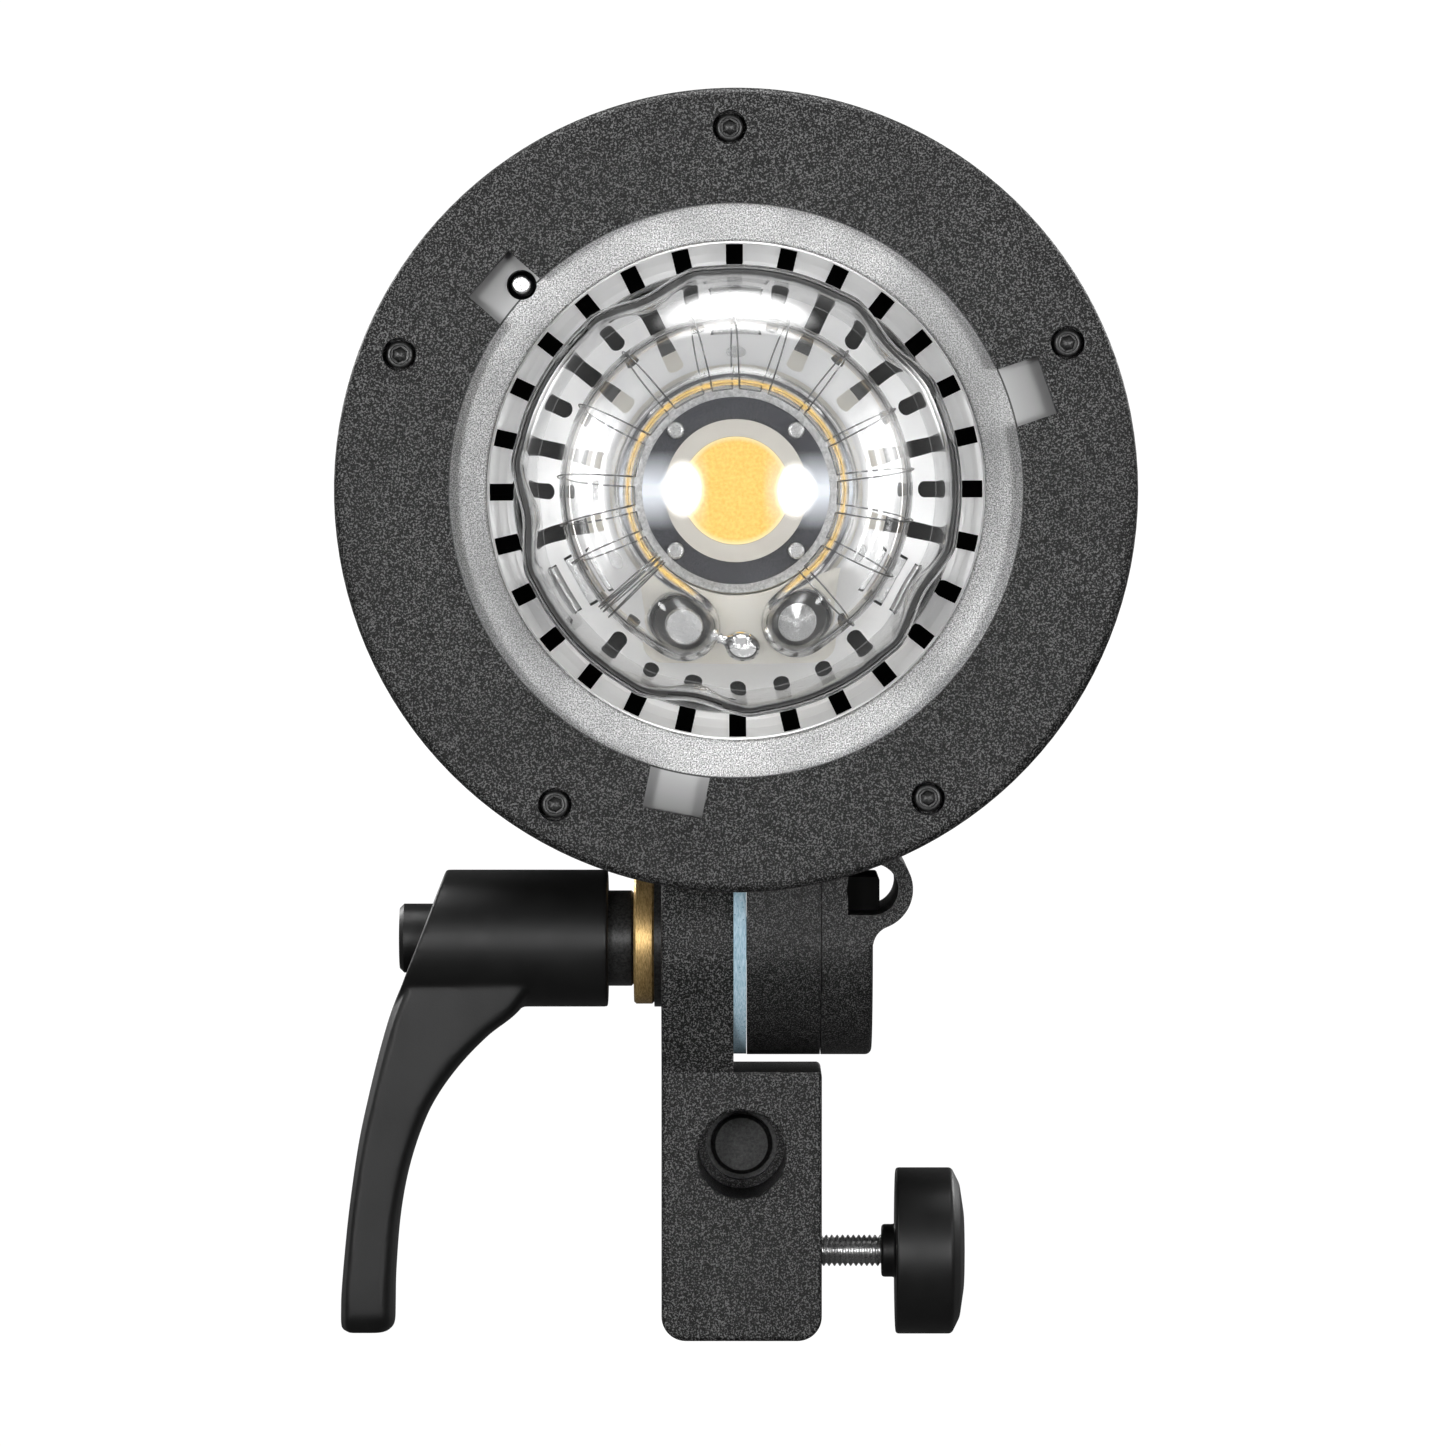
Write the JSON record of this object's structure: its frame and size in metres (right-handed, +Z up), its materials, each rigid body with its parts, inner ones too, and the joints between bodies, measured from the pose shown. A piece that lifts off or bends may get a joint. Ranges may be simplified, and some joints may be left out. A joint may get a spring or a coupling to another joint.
{
  "type": "monolight strobe",
  "caption": "Studio strobe head with accessory bayonet, ring flash tube and LED under a glass dome, on a tilting stand bracket with clamp lever, umbrella holder and stand knob.",
  "frame": {"origin": "centre of the stand socket's mouth, on the underside of the stand bracket", "axes": "+Z up along the stand socket, the lamp faces -Y, +X to the right seen from the front; the tilt axis is along X"},
  "size_m": [0.1432, 0.259, 0.2264],
  "materials": {
    "black_casting": "die-cast aluminium with a fine matt black powder coat",
    "black_housing": "extruded aluminium tube, satin black paint",
    "bare_casting": "bead-blasted bare aluminium",
    "reflector": "satin anodised bright reflector sheet",
    "dome_glass": "clear borosilicate glass",
    "tube_glass": "clear quartz glass",
    "steel": "bright turned steel",
    "black_steel": "black-oxidised steel",
    "spring_steel": "spring steel",
    "brass": "turned brass, brushed face",
    "blue_fibre": "pressed blue fibre friction disc",
    "black_plastic": "satin black glass-filled plastic",
    "grip_rubber": "matt black rubber",
    "ceramic": "unglazed cream ceramic",
    "led_plate": "polished dark mirror-anodised base plate",
    "led_dam": "moulded silicone dam",
    "phosphor": "yellow phosphor gel",
    "heat_sink": "machined aluminium",
    "capacitor": "sleeved aluminium can",
    "circuit_board": "green circuit board with its parts",
    "display": "smoked clear window",
    "button_grey": "grey silicone key",
    "switch_red": "gloss red rocker",
    "sensor_red": "clear red sensor cap"
  },
  "bodies": {
    "bracket": {"stand_bracket": "black_casting", "cross_socket_plug": "black_steel", "steel_washer": "black_steel", "brass_washer": "brass", "friction_washer": "blue_fibre"},
    "glass_dome": {"glass_dome": "dome_glass"},
    "ring_lock": {"lock_pin": "steel", "lock_slider": "black_plastic"},
    "clamp": {"clamp_insert": "black_steel", "lever_screw": "steel", "lever_spring": "spring_steel"},
    "lever": {"clamp_lever": "black_plastic"},
    "lever_button": {"lever_button": "black_plastic"},
    "clamp_pad": {"clamp_pad": "brass"},
    "stand_knob": {"knob_screw": "steel", "stand_knob": "black_plastic"},
    "umbrella_pad": {"umbrella_pad": "black_plastic"},
    "fan": {"fan_impeller": "black_plastic"},
    "dial": {"control_dial": "black_plastic"},
    "test_button": {"test_button": "button_grey"},
    "model_lamp_button": {"model_lamp_button": "button_grey"},
    "rocker": {"power_rocker": "switch_red"},
    "head": {"mount_ring": "black_casting", "ring_screws": "black_steel", "bayonet_base": "bare_casting", "front_collar": "black_casting", "reflector": "reflector", "reflector_screws": "steel", "dome_clips": "spring_steel", "flash_tube": "tube_glass", "flash_cathode": "steel", "flash_anode": "steel", "trigger_wire": "spring_steel", "lamp_base": "ceramic", "led_plate": "led_plate", "led_dam": "led_dam", "led_phosphor": "phosphor", "led_screws": "steel", "led_heat_sink": "heat_sink", "housing_tube": "black_housing", "top_grip": "grip_rubber", "main_chassis": "black_casting", "rear_bezel": "black_plastic", "rear_panel": "black_plastic", "rear_screws": "black_steel", "flash_capacitors": "capacitor", "power_board": "circuit_board", "igbt_heat_sink": "heat_sink", "fan_frame": "black_plastic", "display_window": "display", "control_board": "circuit_board", "power_entry": "black_plastic", "fuse_cap": "black_plastic", "sync_jack": "black_plastic", "slave_sensor": "sensor_red", "tilt_hub": "black_casting", "umbrella_holder": "black_casting", "umbrella_screws": "black_steel", "umbrella_spring": "spring_steel", "lock_spring": "spring_steel"}
  },
  "joints": [
    {"name": "head_tilt", "type": "hinge", "parent": "bracket", "child": "head", "pos_m": [0, 0, 0.0735], "axis": [1, 0, 0], "range_deg": [-90, 90]},
    {"name": "dome_pull", "type": "slide", "parent": "head", "child": "glass_dome", "axis": [0, -1, 0], "range_m": [0, 0.045]},
    {"name": "ring_lock_retract", "type": "slide", "parent": "head", "child": "ring_lock", "axis": [0, 1, 0], "range_m": [0, 0.004], "stiffness_N_per_m": 400, "springref_m": -0.002, "deforming": ["lock_spring"]},
    {"name": "clamp_turn", "type": "hinge", "parent": "bracket", "child": "clamp", "pos_m": [0, 0, 0.0735], "axis": [-1, 0, 0], "range_deg": [0, 150]},
    {"name": "lever_lift", "type": "slide", "parent": "clamp", "child": "lever", "axis": [-1, 0, 0], "range_m": [0, 0.004], "stiffness_N_per_m": 900, "springref_m": -0.002, "deforming": ["lever_spring"]},
    {"name": "lever_button_press", "type": "slide", "parent": "lever", "child": "lever_button", "axis": [1, 0, 0], "range_m": [0, 0.003], "stiffness_N_per_m": 600, "springref_m": -0.001},
    {"name": "pad_feed", "type": "slide", "parent": "bracket", "child": "clamp_pad", "axis": [-1, 0, 0], "range_m": [-0.004, 0.0015]},
    {"name": "knob_turn", "type": "hinge", "parent": "clamp_pad", "child": "stand_knob", "pos_m": [0, 0, 0.0155], "axis": [-1, 0, 0], "range_deg": [-1444, 544]},
    {"name": "umbrella_pad_slide", "type": "slide", "parent": "head", "child": "umbrella_pad", "axis": [-1, 0, 0], "range_m": [0, 0.0055], "stiffness_N_per_m": 800, "springref_m": -0.002, "deforming": ["umbrella_spring"]},
    {"name": "fan_spin", "type": "hinge", "parent": "head", "child": "fan", "pos_m": [0.03895, 0.067, 0.1564], "axis": [1, 0, 0], "continuous": true},
    {"name": "dial_turn", "type": "hinge", "parent": "head", "child": "dial", "pos_m": [-0.00105, 0.12, 0.1514], "axis": [0, 1, 0], "continuous": true},
    {"name": "test_press", "type": "slide", "parent": "head", "child": "test_button", "axis": [0, -1, 0], "range_m": [0, 0.0012], "stiffness_N_per_m": 500, "springref_m": -0.001},
    {"name": "model_lamp_press", "type": "slide", "parent": "head", "child": "model_lamp_button", "axis": [0, -1, 0], "range_m": [0, 0.0012], "stiffness_N_per_m": 500, "springref_m": -0.001},
    {"name": "rocker_tip", "type": "hinge", "parent": "head", "child": "rocker", "pos_m": [0.01995, 0.113, 0.1249], "axis": [1, 0, 0], "range_deg": [-16, 0]}
  ],
  "couplings": [
    {"joint": "knob_turn", "follows": "pad_feed", "rad_per_m": 6283.2}
  ]
}
